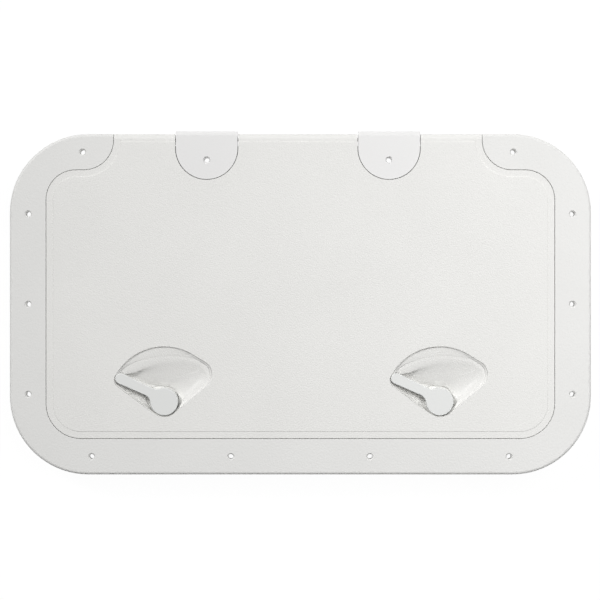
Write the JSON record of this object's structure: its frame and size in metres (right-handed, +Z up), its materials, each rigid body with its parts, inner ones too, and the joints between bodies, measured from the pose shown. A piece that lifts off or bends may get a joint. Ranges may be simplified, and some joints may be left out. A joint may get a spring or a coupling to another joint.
{
  "type": "flush deck access hatch",
  "caption": "Flush rectangular deck access hatch: flanged frame with seal, hinged grained lid, recessed twist levers that turn latch cams",
  "frame": {"origin": "middle of the four side screw holes, on the deck surface under the flange", "axes": "+Z up out of the deck, +Y towards the hinge side, +X along the hatch's length"},
  "size_m": [0.606, 0.358, 0.0425],
  "materials": {
    "frame_plastic": "fine satin moulding",
    "lid_plastic": "pebble grain",
    "tab_plastic": "smooth satin",
    "lever_plastic": "smooth satin",
    "cam_plastic": "satin",
    "washer_nylon": "natural nylon",
    "seal_rubber": "matt",
    "stainless": "turned stainless"
  },
  "bodies": {
    "frame": {"frame": "frame_plastic", "gasket": "seal_rubber", "hinge_tab_left": "tab_plastic", "hinge_tab_right": "tab_plastic", "hinge_pin_left": "stainless", "hinge_pin_right": "stainless"},
    "lid": {"lid": "lid_plastic", "stem_seal_left": "seal_rubber", "stem_seal_right": "seal_rubber", "slip_washer_left": "washer_nylon", "slip_washer_right": "washer_nylon"},
    "lever_left": {"handle_left": "lever_plastic", "latch_cam_left": "cam_plastic", "cam_washer_left": "stainless", "cam_screw_left": "stainless"},
    "lever_right": {"handle_right": "lever_plastic", "latch_cam_right": "cam_plastic", "cam_washer_right": "stainless", "cam_screw_right": "stainless"}
  },
  "joints": [
    {"name": "lid_hinge", "type": "hinge", "parent": "frame", "child": "lid", "pos_m": [0, 0.1718, 0.0063], "axis": [-1, 0, 0], "range_deg": [0, 180]},
    {"name": "lever_left_turn", "type": "hinge", "parent": "lid", "child": "lever_left", "pos_m": [-0.1419, -0.1016, 0], "axis": [0, 0, 1], "range_deg": [-90, 0]},
    {"name": "lever_right_turn", "type": "hinge", "parent": "lid", "child": "lever_right", "pos_m": [0.1453, -0.1016, 0], "axis": [0, 0, 1], "range_deg": [-90, 0]}
  ]
}
